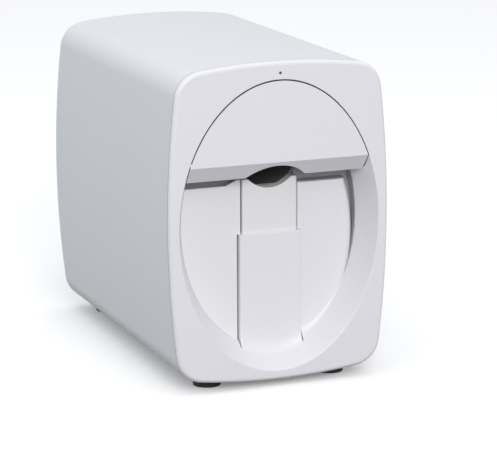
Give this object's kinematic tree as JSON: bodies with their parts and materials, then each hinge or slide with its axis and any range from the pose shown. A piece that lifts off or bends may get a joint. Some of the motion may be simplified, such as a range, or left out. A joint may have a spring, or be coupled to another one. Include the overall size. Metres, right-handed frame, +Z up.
{
  "type": "digital nail art printer",
  "caption": "Desktop nail printer: boxy body with an oval hand bowl, a sprung finger rest, a flip-up cartridge door and an ink-jet carriage on a two-axis gantry inside",
  "frame": {"origin": "centre of the bottom of the bounding box, between the four feet", "axes": "+X to the right seen from the front, -Y the front face with the bowl and the door, +Z up"},
  "size_m": [0.14, 0.228, 0.197],
  "materials": {
    "shell_white": "satin white moulding",
    "front_white": "satin white moulding",
    "panel_white": "fine matte white moulding",
    "smoke_lens": "clear smoked lens",
    "dark_plastic": "matte",
    "black_plastic": "matte",
    "chassis_grey": "folded sheet",
    "steel": "ground",
    "dark_steel": "black coated",
    "magnet": "nickel plated",
    "brass_nut": "turned",
    "black_rubber": "matte",
    "clear_strip": "thin film",
    "felt": "pressed felt",
    "board_green": "solder mask",
    "board_blue": "solder mask",
    "cover_grey": "textured"
  },
  "bodies": {
    "body": {"main_shell": "shell_white", "front_bezel": "front_white", "left_hand_panel": "panel_white", "door_hinge_pins": "steel", "magnet_strikes": "steel", "status_light_lens": "smoke_lens", "status_light_board": "board_green", "finger_rest_guide": "dark_plastic", "finger_rest_springs": "steel", "chassis": "chassis_grey", "side_plates": "chassis_grey", "deck_plate": "chassis_grey", "rod_brackets": "chassis_grey", "screw_bearing": "chassis_grey", "motor_plate": "chassis_grey", "nail_light_board": "panel_white", "feed_rods": "steel", "feed_motor": "steel", "capping_station": "dark_plastic", "cap_pad": "black_rubber", "wiper_blade": "black_rubber", "waste_ink_pad": "felt", "main_board": "board_green", "power_board": "board_blue", "board_screws": "steel", "dc_inlet": "black_plastic", "power_switch": "black_plastic", "rear_cover": "cover_grey", "rear_cover_screws": "dark_steel", "fan_housing": "black_plastic", "base_plate": "black_plastic", "base_screws": "dark_steel", "rubber_feet": "black_rubber"},
    "door": {"cartridge_door": "front_white", "door_magnets": "magnet"},
    "rest": {"finger_rest": "panel_white", "finger_cradle": "dark_plastic"},
    "gantry": {"gantry_left_block": "dark_plastic", "gantry_right_block": "dark_plastic", "scan_rods": "steel", "scan_motor": "steel", "scan_belt": "black_rubber", "encoder_strip": "clear_strip", "lead_nut": "brass_nut"},
    "carriage": {"carriage": "dark_plastic", "ink_cartridge": "black_plastic", "camera_module": "black_plastic"},
    "drive_pulley": {"drive_pulley": "steel"},
    "idler_pulley": {"idler_pulley": "dark_plastic"},
    "lead_screw": {"lead_screw": "steel"},
    "fan_rotor": {"fan_rotor": "black_plastic"},
    "power_button": {"power_button": "panel_white"}
  },
  "joints": [
    {"name": "door_hinge", "type": "hinge", "parent": "body", "child": "door", "pos_m": [0, -0.1085, 0.19], "axis": [-1, 0, 0], "range_deg": [0, 75]},
    {"name": "finger_rest_slide", "type": "slide", "parent": "body", "child": "rest", "axis": [0, 0, -1], "range_m": [0, 0.008], "stiffness_N_per_m": 250, "springref_m": -0.003, "deforming": ["finger_rest_springs"]},
    {"name": "gantry_feed", "type": "slide", "parent": "body", "child": "gantry", "axis": [0, 1, 0], "range_m": [0, 0.024]},
    {"name": "lead_screw_spin", "type": "hinge", "parent": "body", "child": "lead_screw", "pos_m": [-0.046, -0.04, 0.122], "axis": [0, 1, 0], "range_deg": [0, 1081]},
    {"name": "carriage_scan", "type": "slide", "parent": "gantry", "child": "carriage", "axis": [-1, 0, 0], "range_m": [0, 0.04]},
    {"name": "drive_pulley_spin", "type": "hinge", "parent": "gantry", "child": "drive_pulley", "pos_m": [0.05, -0.029, 0.156], "axis": [0, 1, 0], "range_deg": [0, 383]},
    {"name": "idler_pulley_spin", "type": "hinge", "parent": "gantry", "child": "idler_pulley", "pos_m": [-0.05, -0.029, 0.156], "axis": [0, 1, 0], "range_deg": [0, 383]},
    {"name": "fan_spin", "type": "hinge", "parent": "body", "child": "fan_rotor", "pos_m": [0.022, 0.1045, 0.14], "axis": [0, 1, 0], "continuous": true},
    {"name": "power_button_press", "type": "slide", "parent": "body", "child": "power_button", "axis": [0, -1, 0], "range_m": [0, 0.0015], "stiffness_N_per_m": 800, "springref_m": -0.001}
  ],
  "couplings": [
    {"joint": "lead_screw_spin", "follows": "gantry_feed", "rad_per_m": 785.4},
    {"joint": "drive_pulley_spin", "follows": "carriage_scan", "rad_per_m": 166.67},
    {"joint": "idler_pulley_spin", "follows": "carriage_scan", "rad_per_m": 166.67}
  ]
}
